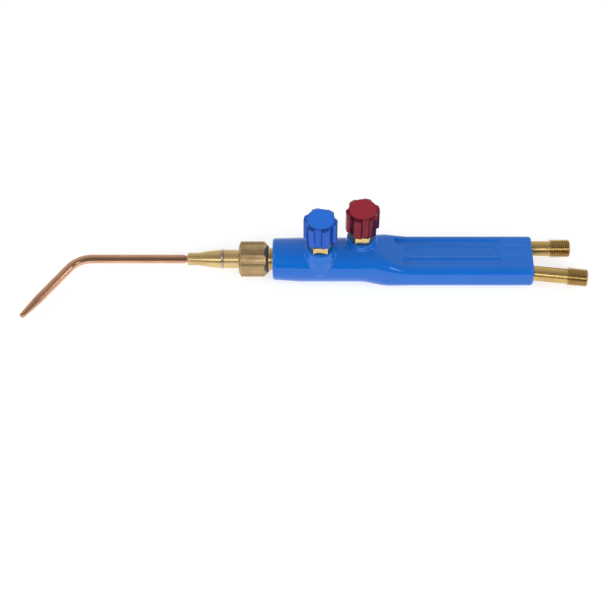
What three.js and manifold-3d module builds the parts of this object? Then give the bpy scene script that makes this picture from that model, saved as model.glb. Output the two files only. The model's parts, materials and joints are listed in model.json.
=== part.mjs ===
// A light oxy-fuel welding torch with a bent copper tip, as it comes apart on a bench.
// Millimetres, +Z up. +X runs from the nozzle to the hose ends, +Y is the fuel side, -Y the oxygen side.
// Stations along X are measured from the handle's front face, and heights from the neck's axis.
// The last section moves the whole torch, so that its origin is the middle of the grip's flat underside.
import * as THREE from 'three';
import { mergeVertices } from 'three/addons/utils/BufferGeometryUtils.js';
import Module from 'manifold-3d';

const wasm = await Module();
wasm.setup();

// ---- Driving dimensions ----

const gap = 0.3; // left between pieces that touch
const overrun = 1; // how far a cutting shape runs past the face that it opens

const handle = {
  length: 185.5,
  noseRadius: 14.9, // the barrel's radius just behind its front face
  noseRound: 1.5,
  barrelRadius: 15.8,
  barrelDrop: 0.6, // how far the barrel's own axis lies below the neck's
  coneEnd: 20,
  underside: -12.7, // the union nut just clears the bench that the underside lies on
  gripTop: 6.7,
  gripHalfWidth: 18.4,
  topCorner: 5.1,
  bottomCorner: 8,
  gripCentre: 140,
  widens: [64, 83], // between these stations the barrel grows into the grip's width,
  flattens: [68, 98], // its top and bottom become flat
  squares: [60, 97], // and its corners tighten
  rearRound: 2,
};
const grooves = { offset: 9.2, halfWidth: 2.4, depth: 1.1, front: 88, back: 162.5, stagger: 4 };
const label = { halfWidth: 4.6, depth: 0.35, front: 97, back: 160 };
const raisedBars = { height: 0.3, width: 1.6, front: 165.5, back: 180, offsets: [-2.4, 5.6] };

const valve = {
  oxygenStation: 33.9,
  fuelStation: 63.4,
  sideways: 4.7, // each valve's offset from the neck's axis
  bossRadius: 10.7,
  bossTop: 19,
  bossFoot: 0.6, // how much wider the boss is where it meets the barrel
  footTop: 13.5,
  footEnd: 15.5,
  bossRim: 0.5,
  chamberRadius: 4.6,
  chamberTop: 5,
  chamberFloor: -8,
  glandBore: 6.3,
};
const gland = { acrossFlats: 17.2, foot: 0.9, top: 26.5, chamfer: 1.1, shankRadius: 6, bore: 3.5 };
const gasHole = { sideways: 4, height: -4, radius: 1.1, spigotRadius: 1.3, rise: 1.2 };
const spindle = { radius: 3, neckRadius: 1.9, grooveBottom: 10.2, grooveTop: 11.8, top: 44 };
const needle = { shoulder: -1.5, point: -6.2, radius: 1.5, pointRadius: 0.4 };
const knob = {
  lobes: 6,
  radius: 11.9,
  waist: 10,
  topRadius: 9.65,
  chamferDrop: 1.45,
  bottom: 28.2,
  top: 47,
  lobeAngle: 26,
  flankAngle: 5,
  screwHeight: 34,
  screwRadius: 1.5,
};
const knobTurn = { oxygen: -10.7, fuel: 11 }; // where the knobs' lobes stand at rest, in degrees

const inlet = {
  sideways: 11.7,
  height: -2,
  splay: 7.2, // the oxygen stub leans outwards by this many degrees
  tubeRadius: 5.35,
  boreRadius: 3.8,
  inside: 26, // the length held inside the handle
  fuelLength: 27.7,
  oxygenLength: 38.3,
  threadRadius: 6.58,
  threadRoot: 5.75,
  pitch: 1.337,
  turns: 10,
  endChamfer: 0.8,
};
const gasLine = { radius: 2.7, bore: 1.7 };

const spigot = { radius: 8.2, front: -13, shankRadius: 9.7, depth: 14, bore: 6, boreDepth: 11 };
const nut = {
  front: -24.1,
  back: -2.65,
  radius: 12.6,
  waist: 11.4,
  frontRadius: 9.4,
  frontChamfer: 1.6,
  backRadius: 8.9,
  backChamfer: 3.4,
  lobeAngle: 26.5,
  flankAngle: 3.5,
  turn: 12.7, // where its lobes stand at rest, in degrees
  shoulder: -17,
};
const neck = {
  front: -60.6,
  radius: 6.6,
  muzzleRadius: 4.45,
  muzzleEnd: -53,
  coneEnd: -37.6,
  collarRadius: 7.9,
  collarBack: -13.3,
  tailRadius: 5.6,
  tailEnd: 8,
  bore: 2.4,
};
const retainer = { station: -35.8, wire: 0.55, radius: 6.95 };
const mixerRing = { radius: 5.25, wire: 0.55, stations: [-6, 2] };
const injector = { front: -2, back: 9.6, radius: 3.2, headRadius: 4.4, headLength: 1.3, orifice: 0.5 };

const tip = {
  radius: 3.175,
  bore: 2,
  threadRadius: 2.95,
  reliefRadius: 2.6,
  threadEnd: -52.5,
  reliefEnd: -62.7,
  bendStation: -139, // where the two straight stretches would meet
  bendRadius: 20.5,
  bendAngle: 51.9,
  reach: 60.3, // from the bend to the nozzle's end
  nozzleLength: 18.5,
  nozzleRadius: 1.95,
  orifice: 0.6,
};
const restSwivel = -79.8; // the tip lies to the side and just clears the bench, in degrees

// ---- Finishes ----

const bluePaint = { color: 0x1d63c6, roughness: 0.32, metalness: 0 };
const blueAnodised = { color: 0x2b5fd0, roughness: 0.3, metalness: 0.85 };
const redAnodised = { color: 0xa02837, roughness: 0.3, metalness: 0.85 };
const brass = { color: 0xc9a35a, roughness: 0.28, metalness: 1 };
const copper = { color: 0xc98264, roughness: 0.25, metalness: 1 };
const steel = { color: 0x5a5c60, roughness: 0.35, metalness: 1 };
const rubber = { color: 0x1c1c1e, roughness: 0.8, metalness: 0 };

// ---- Tools ----

const radians = THREE.MathUtils.degToRad;

// A geometry as a manifold solid, with its shared corners merged.
function toSolid(geometry) {
  const bare = geometry.clone();
  bare.deleteAttribute('normal');
  bare.deleteAttribute('uv');
  const merged = mergeVertices(bare, 1e-4);
  return new wasm.Manifold(new wasm.Mesh({
    numProp: 3,
    vertProperties: merged.attributes.position.array,
    triVerts: new Uint32Array(merged.index.array),
  }));
}

function toGeometry(solid) {
  const mesh = solid.getMesh();
  const geometry = new THREE.BufferGeometry();
  geometry.setAttribute('position', new THREE.BufferAttribute(mesh.vertProperties, 3));
  geometry.setIndex(new THREE.BufferAttribute(mesh.triVerts, 1));
  const faceted = geometry.toNonIndexed();
  faceted.computeVertexNormals();
  return faceted;
}

function join(first, ...others) {
  return toGeometry(others.reduce((sum, other) => sum.add(toSolid(other)), toSolid(first)));
}

function cut(base, ...tools) {
  return toGeometry(tools.reduce((left, tool) => left.subtract(toSolid(tool)), toSolid(base)));
}

function common(first, second) {
  return toGeometry(toSolid(first).intersect(toSolid(second)));
}

// A piece turned about X. The profile is a list of [station, radius] that closes on itself or on the axis.
function turned(profile, segments = 24) {
  const points = profile.map(([station, radius]) => new THREE.Vector2(radius, station));
  return new THREE.LatheGeometry(points, segments).rotateZ(-Math.PI / 2);
}

// The same about Z, with [height, radius].
function upright(profile, segments = 24) {
  const points = profile.map(([height, radius]) => new THREE.Vector2(radius, height));
  return new THREE.LatheGeometry(points, segments).rotateX(Math.PI / 2);
}

// A plain round bar between two points.
function bar(from, to, radius, segments = 16) {
  const along = new THREE.Vector3().subVectors(to, from);
  const geometry = new THREE.CylinderGeometry(radius, radius, along.length(), segments);
  const lean = new THREE.Quaternion().setFromUnitVectors(new THREE.Vector3(0, 1, 0), along.normalize());
  const middle = new THREE.Vector3().addVectors(from, to).multiplyScalar(0.5);
  return geometry.applyQuaternion(lean).translate(middle.x, middle.y, middle.z);
}

// A closed skin of rings: place(ring, across, up) gives a point, where across and up lie on the unit circle,
// or are both 0 at the middle of an end.
function skin(ringCount, sides, place) {
  const geometry = new THREE.CylinderGeometry(1, 1, 1, sides, ringCount - 1, false, Math.PI / sides);
  const corners = geometry.attributes.position;
  for (let i = 0; i < corners.count; i += 1) {
    const ring = Math.round((0.5 - corners.getY(i)) * (ringCount - 1));
    const point = place(ring, corners.getX(i), corners.getZ(i));
    corners.setXYZ(i, point.x, point.y, point.z);
  }
  return geometry;
}

// A prism about Z with raised lobes round it, as on a knob or a hand nut.
function lobedPrism({ lobes, radius, waist, lobeAngle, flankAngle }, bottom, top) {
  const outline = new THREE.Shape();
  const pitch = (2 * Math.PI) / lobes;
  const halfLobe = radians(lobeAngle) / 2;
  const flank = radians(flankAngle);
  for (let i = 0; i < lobes; i += 1) {
    const middle = i * pitch;
    outline.absarc(0, 0, radius, middle - halfLobe, middle + halfLobe, false);
    outline.absarc(0, 0, waist, middle + halfLobe + flank, middle + pitch - halfLobe - flank, false);
  }
  outline.closePath();
  const settings = { depth: top - bottom, bevelEnabled: false, curveSegments: 4 };
  return new THREE.ExtrudeGeometry(outline, settings).translate(0, 0, bottom);
}

function piece(name, geometry, finish) {
  const mesh = new THREE.Mesh(geometry, new THREE.MeshStandardMaterial(finish));
  mesh.name = name;
  return mesh;
}

const torch = new THREE.Group();
const fixed = new THREE.Group(); // everything that the handle carries
const head = new THREE.Group(); // everything that swivels with the neck
torch.add(fixed, head);

// ---- Where the gas runs ----

const oxygenLean = radians(inlet.splay);
const rearFace = handle.length;
const oxygenInlet = {
  mouth: new THREE.Vector3(rearFace, -inlet.sideways, inlet.height),
  along: new THREE.Vector3(Math.cos(oxygenLean), -Math.sin(oxygenLean), 0),
};
const fuelInlet = {
  mouth: new THREE.Vector3(rearFace, inlet.sideways, inlet.height),
  along: new THREE.Vector3(1, 0, 0),
};
const oxygenValve = new THREE.Vector3(valve.oxygenStation, -valve.sideways, 0);
const fuelValve = new THREE.Vector3(valve.fuelStation, valve.sideways, 0);

function pointOn({ mouth, along }, distance) {
  return mouth.clone().addScaledVector(along, distance);
}

// The straight line of a gas tube, from the valve chamber's wall to the stub's inner end.
function lineEnds(inletEnd, valveAxis) {
  const back = pointOn(inletEnd, -inlet.inside);
  const front = new THREE.Vector3(valveAxis.x, valveAxis.y, inlet.height);
  return { back, front };
}

// ---- Handle casting ----

// The handle at a station: half width, half height, the height of its middle and its corner radii.
function handleSection(station) {
  const nose = Math.min(station / handle.noseRound, 1);
  const rounding = handle.noseRound * (1 - Math.sqrt(1 - (1 - nose) ** 2));
  const cone = THREE.MathUtils.clamp(station / handle.coneEnd, 0, 1);
  const barrel = THREE.MathUtils.lerp(handle.noseRadius, handle.barrelRadius, cone) - rounding;
  const centre = -handle.barrelDrop * cone;
  const widening = THREE.MathUtils.smoothstep(station, ...handle.widens);
  const flattening = THREE.MathUtils.smoothstep(station, ...handle.flattens);
  const squaring = THREE.MathUtils.smoothstep(station, ...handle.squares);
  const halfWidth = THREE.MathUtils.lerp(barrel, handle.gripHalfWidth, widening);
  const top = THREE.MathUtils.lerp(centre + barrel, handle.gripTop, flattening);
  const bottom = THREE.MathUtils.lerp(centre - barrel, handle.underside, flattening);
  const halfHeight = (top - bottom) / 2;
  const roundest = Math.min(halfWidth, halfHeight);
  const cornerOf = (gripCorner) => Math.min(THREE.MathUtils.lerp(barrel, gripCorner, squaring), roundest);
  return {
    halfWidth,
    halfHeight,
    centreHeight: (top + bottom) / 2,
    topCorner: cornerOf(handle.topCorner),
    bottomCorner: cornerOf(handle.bottomCorner),
  };
}

// The rear end is rounded like the corners of a bar of soap.
function rearShrink(station) {
  const { length, rearRound } = handle;
  const into = THREE.MathUtils.clamp((station - length + rearRound) / rearRound, 0, 1);
  return rearRound * (1 - Math.sqrt(1 - into ** 2));
}

function handleSkin() {
  const nose = [0, 0.2, 0.55, 1].map((share) => share * handle.noseRound);
  const morphSteps = 10;
  const morphStart = handle.squares[0];
  const morphStep = (handle.flattens[1] - morphStart) / morphSteps;
  const morph = Array.from({ length: morphSteps + 1 }, (_, i) => morphStart + i * morphStep);
  const back = [1, 0.5, 0.15, 0].map((share) => handle.length - share * handle.rearRound);
  const stations = [...nose, handle.coneEnd, ...morph, ...back];
  return skin(stations.length, 40, (ring, across, up) => {
    const station = stations[ring];
    const { halfWidth, halfHeight, centreHeight, topCorner, bottomCorner } = handleSection(station);
    const corner = up < 0 ? bottomCorner : topCorner;
    const shrink = rearShrink(station);
    const y = Math.sign(across) * (halfWidth - corner) + across * (corner - shrink);
    const z = Math.sign(up) * (halfHeight - corner) + up * (corner - shrink);
    return new THREE.Vector3(station, y, centreHeight + z);
  });
}

// A sunken strip on the grip's flat top, with round ends and sloping walls.
function strip(front, back, sideways, halfWidth, depth) {
  const outline = new THREE.Shape();
  outline.absarc(back - halfWidth, sideways, halfWidth, -Math.PI / 2, Math.PI / 2, false);
  outline.absarc(front + halfWidth, sideways, halfWidth, Math.PI / 2, (3 * Math.PI) / 2, false);
  outline.closePath();
  const settings = { depth: handle.barrelRadius, bevelEnabled: false, curveSegments: 6 };
  return new THREE.ExtrudeGeometry(outline, settings).translate(0, 0, handle.gripTop - depth);
}

function valveBores(axis) {
  const { chamberFloor, chamberTop, chamberRadius, glandBore, bossTop } = valve;
  return upright([
    [chamberFloor, 0], [chamberFloor, chamberRadius], [chamberTop, chamberRadius],
    [chamberTop, glandBore], [bossTop + overrun, glandBore], [bossTop + overrun, 0],
  ], 24).translate(axis.x, axis.y, 0);
}

// The drilled way from below a valve's seat to the socket of the front spigot.
function gasWay(axis) {
  const { sideways, height, radius, rise } = gasHole;
  const socketFloor = new THREE.Vector3(spigot.depth - overrun, Math.sign(axis.y) * sideways, height);
  const underSeat = new THREE.Vector3(axis.x, axis.y, valve.chamberFloor + rise);
  return bar(socketFloor, underSeat, radius, 10);
}

// A plain raised bar on the grip's flat top, sunk a little so that it joins the casting.
function raisedBar(length, width, station, sideways) {
  const { height } = raisedBars;
  const tall = overrun + height;
  return new THREE.BoxGeometry(length, width, tall)
    .translate(station, sideways, handle.gripTop + height - tall / 2);
}

function handleCasting() {
  const { bossRadius, bossTop, bossFoot, footTop, footEnd, bossRim } = valve;
  const boss = [
    [0, 0], [0, bossRadius + bossFoot], [footTop, bossRadius + bossFoot], [footEnd, bossRadius],
    [bossTop - bossRim, bossRadius], [bossTop, bossRadius - bossRim], [bossTop, 0],
  ];
  const bosses = [oxygenValve, fuelValve].map((axis) => upright(boss, 32).translate(axis.x, axis.y, 0));
  const bench = 20; // a block under the torch that cuts the barrel's underside flat
  const below = new THREE.BoxGeometry(2 * handle.length, 3 * bench, bench)
    .translate(0, 0, handle.underside - bench / 2);
  const barLength = raisedBars.back - raisedBars.front;
  const barStation = (raisedBars.back + raisedBars.front) / 2;
  const bars = raisedBars.offsets.map((offset) => (
    raisedBar(barLength, raisedBars.width, barStation, offset)));
  const stubBores = [oxygenInlet, fuelInlet].map((end) => (
    bar(pointOn(end, -inlet.inside - gap), pointOn(end, 5), inlet.tubeRadius + gap, 24)));
  const lineBores = [[oxygenInlet, oxygenValve], [fuelInlet, fuelValve]].map(([end, axis]) => {
    const { back, front } = lineEnds(end, axis);
    return bar(back, front, gasLine.radius + gap, 16);
  });
  const socket = bar(new THREE.Vector3(-overrun, 0, 0), new THREE.Vector3(spigot.depth, 0, 0),
    spigot.shankRadius + gap, 24);
  const body = join(handleSkin(), ...bosses, ...bars);
  return cut(
    body, below, socket, ...stubBores, ...lineBores,
    valveBores(oxygenValve), valveBores(fuelValve), gasWay(oxygenValve), gasWay(fuelValve),
    strip(grooves.front, grooves.back, grooves.offset, grooves.halfWidth, grooves.depth),
    strip(grooves.front + grooves.stagger, grooves.back, -grooves.offset, grooves.halfWidth, grooves.depth),
    strip(label.front, label.back, 0, label.halfWidth, label.depth),
  );
}

fixed.add(piece('handle_casting', handleCasting(), bluePaint));

// ---- Hose stubs and the gas tubes inside the handle ----

// A stub along X with its station 0 at the handle's rear face.
function hoseStub(length) {
  const { tubeRadius, boreRadius, threadRadius, threadRoot, pitch, turns, inside, endChamfer } = inlet;
  const threadStart = length - turns * pitch - 0.6;
  const outside = [[-inside, boreRadius - 1.6], [-inside, tubeRadius], [threadStart - 1, tubeRadius]];
  outside.push([threadStart - 0.4, threadRoot]);
  for (let turn = 0; turn < turns; turn += 1) {
    outside.push([threadStart + (turn + 0.25) * pitch, threadRadius]);
    outside.push([threadStart + (turn + 0.9) * pitch, threadRoot]);
  }
  outside.push([length - endChamfer, threadRadius - 0.3], [length, threadRoot]);
  const coneMouth = boreRadius + 0.7;
  const inner = [[length, coneMouth], [length - 1.2, boreRadius], [-inside + 6, boreRadius],
    [-inside + 4.5, boreRadius - 1.6]];
  return turned([...outside, ...inner, outside[0]]);
}

const oxygenStub = piece('oxygen_hose_stub', hoseStub(inlet.oxygenLength), brass);
oxygenStub.position.copy(oxygenInlet.mouth);
oxygenStub.rotation.z = -oxygenLean;
const fuelStub = piece('fuel_hose_stub', hoseStub(inlet.fuelLength), brass);
fuelStub.position.copy(fuelInlet.mouth);
fixed.add(oxygenStub, fuelStub);

function gasTube(inletEnd, valveAxis) {
  const { back, front } = lineEnds(inletEnd, valveAxis);
  const direction = new THREE.Vector3().subVectors(back, front).normalize();
  const start = front.addScaledVector(direction, valve.chamberRadius + gap);
  const end = back.addScaledVector(direction, -1);
  const throughStart = start.clone().addScaledVector(direction, -overrun);
  const throughEnd = end.clone().addScaledVector(direction, overrun);
  return cut(bar(start, end, gasLine.radius, 16), bar(throughStart, throughEnd, gasLine.bore, 12));
}

fixed.add(piece('oxygen_gas_tube', gasTube(oxygenInlet, oxygenValve), copper));
fixed.add(piece('fuel_gas_tube', gasTube(fuelInlet, fuelValve), copper));

// ---- Valves ----

function valveSeat() {
  const top = needle.point + 1.2;
  const bottom = valve.chamberFloor + 1.8;
  const outer = valve.chamberRadius - gap;
  const hole = needle.radius + gap;
  return upright([[bottom, hole], [bottom, outer], [top, outer], [top, hole], [bottom, hole]], 20);
}

function valveSpindle() {
  const { radius, neckRadius, grooveBottom, grooveTop, top } = spindle;
  return upright([
    [needle.point, 0], [needle.point, needle.pointRadius], [needle.shoulder, needle.radius],
    [needle.shoulder, radius - 0.6], [needle.shoulder + 0.8, radius], [grooveBottom, radius],
    [grooveBottom, neckRadius], [grooveTop, neckRadius], [grooveTop, radius], [top, radius], [top, 0],
  ], 20);
}

function packingRing() {
  const wire = 0.5;
  const centre = (spindle.grooveBottom + spindle.grooveTop) / 2;
  return new THREE.TorusGeometry(spindle.neckRadius + gap + wire, wire, 6, 20).translate(0, 0, centre);
}

function glandNut() {
  const { acrossFlats, foot, top, chamfer, shankRadius, bore } = gland;
  const cornerRadius = acrossFlats / Math.sqrt(3);
  const bottom = valve.bossTop + gap;
  const hexagon = new THREE.CylinderGeometry(cornerRadius, cornerRadius, top - bottom, 6)
    .rotateY(Math.PI / 2)
    .rotateX(Math.PI / 2)
    .translate(0, 0, (top + bottom) / 2);
  const faceRadius = acrossFlats / 2 - 0.3;
  const rounded = upright([
    [bottom, 0], [bottom, faceRadius], [bottom + foot, cornerRadius], [top - chamfer, cornerRadius],
    [top, faceRadius - 0.9], [top, 0],
  ], 36);
  const shank = upright([
    [valve.chamberTop + gap, 0], [valve.chamberTop + gap, shankRadius - 0.6],
    [valve.chamberTop + 1, shankRadius], [bottom + foot, shankRadius], [bottom + foot, 0],
  ], 24);
  const through = upright([[0, 0], [0, bore], [top + overrun, bore], [top + overrun, 0]], 24);
  return cut(join(common(hexagon, rounded), shank), through);
}

function valveKnob() {
  const { radius, topRadius, chamferDrop, bottom, top, screwHeight, screwRadius } = knob;
  const envelope = upright([
    [bottom, 0], [bottom, radius - 0.5], [bottom + 0.5, radius + 0.1], [top - chamferDrop, radius + 0.1],
    [top, topRadius], [top, 0],
  ], 48);
  const socket = upright([
    [bottom - overrun, 0], [bottom - overrun, spindle.radius + gap],
    [spindle.top + gap, spindle.radius + gap], [spindle.top + gap, 0],
  ], 20);
  const screwHole = bar(new THREE.Vector3(0, 0, screwHeight), new THREE.Vector3(0, radius + 2, screwHeight),
    screwRadius + gap, 12);
  return cut(common(lobedPrism(knob, bottom, top), envelope), socket, screwHole);
}

// A headless screw in the waist between two lobes, with a socket for a key.
function knobScrew() {
  const { waist, screwHeight, screwRadius } = knob;
  const shank = bar(new THREE.Vector3(0, spindle.radius + gap, screwHeight),
    new THREE.Vector3(0, waist - 1.2, screwHeight), screwRadius, 12);
  const key = bar(new THREE.Vector3(0, waist - 3, screwHeight),
    new THREE.Vector3(0, waist, screwHeight), 0.75, 6);
  return cut(shank, key);
}

function addValve(gas, axis, turn, finish) {
  const still = new THREE.Group();
  still.position.copy(axis);
  still.add(
    piece(`${gas}_valve_seat`, valveSeat(), brass),
    piece(`${gas}_gland_nut`, glandNut(), brass),
    piece(`${gas}_packing_ring`, packingRing(), rubber),
    piece(`${gas}_spindle`, valveSpindle(), brass),
  );
  const turning = new THREE.Group();
  turning.rotation.z = radians(turn);
  turning.add(piece(`${gas}_knob`, valveKnob(), finish));
  const screw = piece(`${gas}_knob_screw`, knobScrew(), steel);
  turning.add(screw);
  still.add(turning);
  fixed.add(still);
}

addValve('oxygen', oxygenValve, knobTurn.oxygen, blueAnodised);
addValve('fuel', fuelValve, knobTurn.fuel, redAnodised);

// ---- Front spigot and union nut ----

function frontSpigot() {
  const { radius, front, shankRadius, depth, bore, boreDepth } = spigot;
  const body = turned([
    [front, 0], [front, radius - 0.8], [front + 0.8, radius], [gap, radius], [gap, shankRadius],
    [depth - gap, shankRadius], [depth - gap, 0],
  ]);
  const mixerBore = turned([
    [front - overrun, 0], [front - overrun, bore], [boreDepth, bore], [boreDepth, 0],
  ]);
  const { sideways, height, spigotRadius } = gasHole;
  const ways = [-sideways, sideways].map((side) => bar(
    new THREE.Vector3(boreDepth - overrun, side, height),
    new THREE.Vector3(depth + overrun, side, height),
    spigotRadius,
    10,
  ));
  return cut(body, mixerBore, ...ways);
}

fixed.add(piece('front_spigot', frontSpigot(), brass));

function unionNut() {
  const { front, back, radius, frontRadius, frontChamfer, backRadius, backChamfer, turn, shoulder } = nut;
  const lobed = lobedPrism({ ...nut, lobes: 6 }, front, back).rotateY(Math.PI / 2).rotateX(radians(-turn));
  const envelope = turned([
    [front, 0], [front, frontRadius], [front + frontChamfer, radius + 0.1],
    [back - backChamfer, radius + 0.1], [back, backRadius + 0.3], [back, 0],
  ], 48);
  const through = turned([
    [front - overrun, 0], [front - overrun, neck.radius + gap], [shoulder, neck.radius + gap],
    [shoulder, spigot.radius + gap], [back + overrun, spigot.radius + gap], [back + overrun, 0],
  ], 32);
  return cut(common(lobed, envelope), through);
}

fixed.add(piece('union_nut', unionNut(), brass));

// ---- Neck, with its mixer ----

function neckBody() {
  const { front, radius, muzzleRadius, muzzleEnd, coneEnd, collarRadius, collarBack } = neck;
  const { tailRadius, tailEnd, bore } = neck;
  const coneLength = coneEnd - muzzleEnd;
  const cone = [0, 0.25, 0.5, 0.75, 1].map((t) => [
    muzzleEnd + t * coneLength,
    THREE.MathUtils.lerp(muzzleRadius, radius, t) + 0.25 * Math.sin(Math.PI * t),
  ]);
  const wireGroove = retainer.wire + gap;
  const wireFloor = retainer.radius - retainer.wire - gap;
  const ringGrooves = mixerRing.stations.flatMap((station) => {
    const half = mixerRing.wire + gap;
    const floor = mixerRing.radius - mixerRing.wire - gap;
    return [[station - half, tailRadius], [station - half, floor], [station + half, floor],
      [station + half, tailRadius]];
  });
  const tipSocket = tip.radius + gap;
  return turned([
    [front, tipSocket], [front, muzzleRadius - 0.5], [front + 0.5, muzzleRadius],
    ...cone,
    [retainer.station - wireGroove, radius], [retainer.station - wireGroove, wireFloor],
    [retainer.station + wireGroove, wireFloor], [retainer.station + wireGroove, radius],
    [nut.shoulder + gap, radius], [nut.shoulder + gap, collarRadius], [collarBack, collarRadius],
    [collarBack, tailRadius],
    ...ringGrooves,
    [tailEnd, tailRadius], [tailEnd, injector.radius + gap], [injector.front - gap, injector.radius + gap],
    [injector.front - gap, bore], [tip.threadEnd + gap, bore], [tip.threadEnd + gap, tipSocket],
    [front, tipSocket],
  ]);
}

head.add(piece('neck', neckBody(), brass));

const wireRing = new THREE.TorusGeometry(retainer.radius, retainer.wire, 6, 24)
  .rotateY(Math.PI / 2)
  .translate(retainer.station, 0, 0);
head.add(piece('retaining_wire', wireRing, steel));

mixerRing.stations.forEach((station, index) => {
  const ring = new THREE.TorusGeometry(mixerRing.radius, mixerRing.wire, 6, 20)
    .rotateY(Math.PI / 2)
    .translate(station, 0, 0);
  head.add(piece(index === 0 ? 'front_mixer_ring' : 'rear_mixer_ring', ring, rubber));
});

function mixerInjector() {
  const { front, back, radius, headRadius, headLength, orifice } = injector;
  return turned([
    [front, orifice], [front, radius - 0.8], [front + 1.5, radius], [neck.tailEnd + gap, radius],
    [neck.tailEnd + gap, headRadius], [neck.tailEnd + gap + headLength, headRadius],
    [back + 0.4, radius - 1], [back + 0.4, 1.4], [front + 4, 1.4], [front + 3, orifice], [front, orifice],
  ], 20);
}

head.add(piece('mixer_injector', mixerInjector(), brass));

// ---- Copper tip ----

// The tip's centreline: straight out of the neck, round the bend, and straight to the nozzle.
function tipCentreline() {
  const angle = radians(tip.bendAngle);
  const tangent = tip.bendRadius * Math.tan(angle / 2);
  const corner = new THREE.Vector3(tip.bendStation, 0, 0);
  const onward = new THREE.Vector3(-Math.cos(angle), 0, -Math.sin(angle));
  const before = new THREE.Vector3(tip.bendStation + tangent, 0, 0);
  const end = corner.clone().addScaledVector(onward, tip.reach);
  const nozzleStart = corner.clone().addScaledVector(onward, tip.reach - tip.nozzleLength);
  const bendCentre = new THREE.Vector3(before.x, 0, -tip.bendRadius);
  const bend = (share) => new THREE.Vector3(
    bendCentre.x - tip.bendRadius * Math.sin(share * angle),
    0,
    bendCentre.z + tip.bendRadius * Math.cos(share * angle),
  );
  return { before, end, nozzleStart, onward, bend, angle };
}

function copperTip() {
  const { before, end, nozzleStart, onward, bend, angle } = tipCentreline();
  const straight = new THREE.Vector3(-1, 0, 0);
  const outer = [
    { at: new THREE.Vector3(tip.threadEnd, 0, 0), way: straight, radius: tip.threadRadius - 0.4 },
    { at: new THREE.Vector3(tip.threadEnd - 0.5, 0, 0), way: straight, radius: tip.threadRadius },
    { at: new THREE.Vector3(neck.front - 0.1, 0, 0), way: straight, radius: tip.threadRadius },
    { at: new THREE.Vector3(neck.front - 0.3, 0, 0), way: straight, radius: tip.reliefRadius },
    { at: new THREE.Vector3(tip.reliefEnd + 0.2, 0, 0), way: straight, radius: tip.reliefRadius },
    { at: new THREE.Vector3(tip.reliefEnd, 0, 0), way: straight, radius: tip.radius },
    { at: before, way: straight, radius: tip.radius },
  ];
  const bendSteps = 10;
  for (let step = 1; step <= bendSteps; step += 1) {
    const share = step / bendSteps;
    const way = new THREE.Vector3(-Math.cos(share * angle), 0, -Math.sin(share * angle));
    outer.push({ at: bend(share), way, radius: tip.radius });
  }
  const rim = end.clone().addScaledVector(onward, -0.5);
  outer.push({ at: nozzleStart, way: onward, radius: tip.radius });
  outer.push({ at: rim, way: onward, radius: tip.nozzleRadius });
  outer.push({ at: end, way: onward, radius: tip.nozzleRadius - 0.35 });
  const innerStart = new THREE.Vector3(tip.threadEnd + overrun, 0, 0);
  const throat = end.clone().addScaledVector(onward, -6);
  const inner = [
    { at: innerStart, way: straight, radius: tip.bore },
    ...outer.slice(6, 7 + bendSteps).map(({ at, way }) => ({ at, way, radius: tip.bore })),
    { at: nozzleStart, way: onward, radius: tip.bore },
    { at: throat, way: onward, radius: tip.orifice },
    { at: end.clone().addScaledVector(onward, overrun), way: onward, radius: tip.orifice },
  ];
  return cut(sweep(outer, 16), sweep(inner, 10));
}

// A round skin through rings in the XZ plane, each with a centre, a direction and a radius.
function sweep(rings, sides) {
  const sideways = new THREE.Vector3(0, 1, 0);
  return skin(rings.length, sides, (ring, across, up) => {
    const { at, way, radius } = rings[ring];
    const upward = new THREE.Vector3().crossVectors(way, sideways);
    return at.clone()
      .addScaledVector(sideways, across * radius)
      .addScaledVector(upward, up * radius);
  });
}

head.add(piece('copper_tip', copperTip(), copper));
head.rotation.x = radians(restSwivel);

// ---- The torch's own frame ----

for (const group of [fixed, head]) group.position.set(-handle.gripCentre, 0, -handle.underside);

export default torch;
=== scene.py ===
import json
import math

import bmesh
import bpy
from mathutils import Matrix, Vector


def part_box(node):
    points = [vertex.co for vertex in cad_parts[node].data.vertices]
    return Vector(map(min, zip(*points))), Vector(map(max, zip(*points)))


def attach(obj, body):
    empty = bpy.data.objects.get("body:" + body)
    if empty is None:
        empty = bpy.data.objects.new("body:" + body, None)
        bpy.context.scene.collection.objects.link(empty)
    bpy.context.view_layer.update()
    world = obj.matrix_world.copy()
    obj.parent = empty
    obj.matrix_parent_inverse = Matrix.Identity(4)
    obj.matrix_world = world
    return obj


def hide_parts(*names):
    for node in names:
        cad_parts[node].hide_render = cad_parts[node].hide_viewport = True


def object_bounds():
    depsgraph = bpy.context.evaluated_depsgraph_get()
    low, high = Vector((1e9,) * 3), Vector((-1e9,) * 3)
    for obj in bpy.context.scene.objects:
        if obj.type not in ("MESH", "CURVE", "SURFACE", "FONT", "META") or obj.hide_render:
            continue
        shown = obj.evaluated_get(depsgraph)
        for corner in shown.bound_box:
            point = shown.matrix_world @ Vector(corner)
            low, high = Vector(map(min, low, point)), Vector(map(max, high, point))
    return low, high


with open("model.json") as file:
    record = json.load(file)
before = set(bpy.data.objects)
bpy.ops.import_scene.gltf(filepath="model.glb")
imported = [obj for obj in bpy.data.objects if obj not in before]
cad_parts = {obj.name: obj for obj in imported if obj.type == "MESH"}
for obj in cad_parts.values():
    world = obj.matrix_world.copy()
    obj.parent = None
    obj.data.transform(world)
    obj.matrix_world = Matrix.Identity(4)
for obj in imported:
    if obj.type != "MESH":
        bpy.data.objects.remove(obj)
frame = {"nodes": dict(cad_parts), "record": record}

cadLow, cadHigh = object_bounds()
mm = 0.001

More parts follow.
